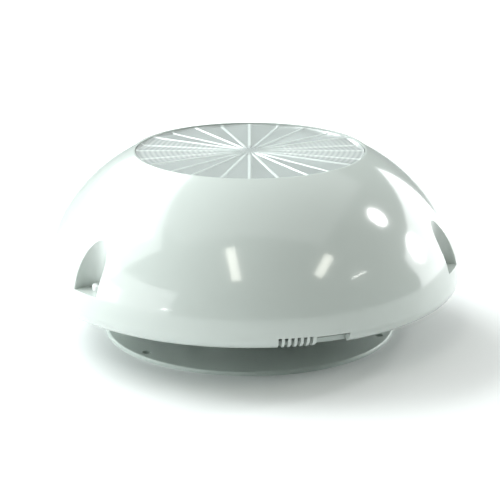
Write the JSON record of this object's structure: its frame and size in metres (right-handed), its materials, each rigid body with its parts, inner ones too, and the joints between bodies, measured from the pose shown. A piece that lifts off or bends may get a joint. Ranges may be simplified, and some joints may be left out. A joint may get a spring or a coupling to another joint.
{
  "type": "horn strobe",
  "caption": "Dome-shaped alarm horn and strobe with a lift-off cover, a fluted lens, a folded horn over a compression driver and a screw-fixed wall base.",
  "frame": {"origin": "centre of the base plate's back, on the wall plane", "axes": "+Z points away from the wall and out through the lens, -Y is the side with the comb in the rim, +X is to its right"},
  "size_m": [0.23, 0.23, 0.101],
  "materials": {
    "white_cover": "smooth polished white moulding with a cool cast",
    "clear_lens": "clear moulded lens with flutes and rings, pale under light",
    "black_rubber": "soft black rubber",
    "plated_steel": "bright zinc plating",
    "grey_base": "semi-gloss grey moulding",
    "seal_foam": "closed-cell foam",
    "black_moulding": "fine-grained black moulding",
    "grey_moulding": "satin light grey moulding",
    "white_chassis": "satin white nylon",
    "screen_metal": "dark powder coat on a thin slotted sheet",
    "bare_steel": "turned bare steel",
    "ferrite": null,
    "amber_film": "thin amber film",
    "copper_winding": null,
    "red_lead": "smooth insulated wire",
    "circuit_board": "green solder resist on glass laminate",
    "green_terminal": "green moulded nylon",
    "transformer_tape": "yellow tape over a winding",
    "capacitor_sleeve": "dark shrunk sleeve",
    "bare_aluminium": "extruded aluminium",
    "red_plunger": "red moulded plunger",
    "brass_spacer": "turned brass",
    "white_holder": "white heat-resisting moulding",
    "mirror_reflector": "vacuum-plated reflector",
    "tube_glass": "clear tube glass"
  },
  "bodies": {
    "base": {"base_plate": "grey_base", "bell_flange_screws": "plated_steel", "bell_screws": "plated_steel", "chassis_ring": "grey_base", "conduit_seals": "black_rubber", "diaphragm_seat": "black_moulding", "diaphragm_surround": "amber_film", "driver_leads": "red_lead", "driver_magnet": "ferrite", "driver_screws": "plated_steel", "driver_top_plate": "bare_steel", "driver_yoke": "bare_steel", "drum_gasket": "black_rubber", "flash_capacitor": "capacitor_sleeve", "flash_tube": "tube_glass", "heat_sink": "bare_aluminium", "horn_bell": "grey_moulding", "output_transistors": "black_moulding", "phase_plug": "black_moulding", "siren_board": "circuit_board", "siren_board_screws": "plated_steel", "siren_capacitors": "capacitor_sleeve", "siren_transformer": "transformer_tape", "sound_screen": "screen_metal", "strobe_board": "circuit_board", "strobe_board_screws": "plated_steel", "strobe_leads": "red_lead", "strobe_reflector": "mirror_reflector", "strobe_spacers": "brass_spacer", "tamper_spring": "bare_steel", "tamper_switch": "black_moulding", "terminal_block": "green_terminal", "terminal_screws": "plated_steel", "throat_horn": "black_moulding", "throat_screws": "plated_steel", "trigger_band": "bare_steel", "trigger_coil": "copper_winding", "tube_holder": "white_holder", "wall_seal": "seal_foam", "wire_grommet": "black_rubber"},
    "cover": {"dome_cover": "white_cover", "strobe_lens": "clear_lens", "lens_gasket": "black_rubber", "lens_retaining_ring": "white_cover", "cover_screws": "white_chassis", "cover_screw_washers": "white_chassis"},
    "moving_coil": {"diaphragm": "amber_film", "voice_coil": "copper_winding"},
    "plunger": {"tamper_plunger": "red_plunger"}
  },
  "joints": [
    {"name": "cover_lift", "type": "slide", "parent": "base", "child": "cover", "axis": [0, 0, 1], "range_m": [0, 0.1]},
    {"name": "coil_stroke", "type": "slide", "parent": "base", "child": "moving_coil", "axis": [0, 0, 1], "range_m": [-0.0004, 0.0004], "stiffness_N_per_m": 4000},
    {"name": "tamper_press", "type": "slide", "parent": "base", "child": "plunger", "axis": [0, 0, 1], "range_m": [0, 0.002]}
  ],
  "couplings": [
    {"joint": "tamper_press", "follows": "cover_lift", "ratio": 0.02}
  ]
}
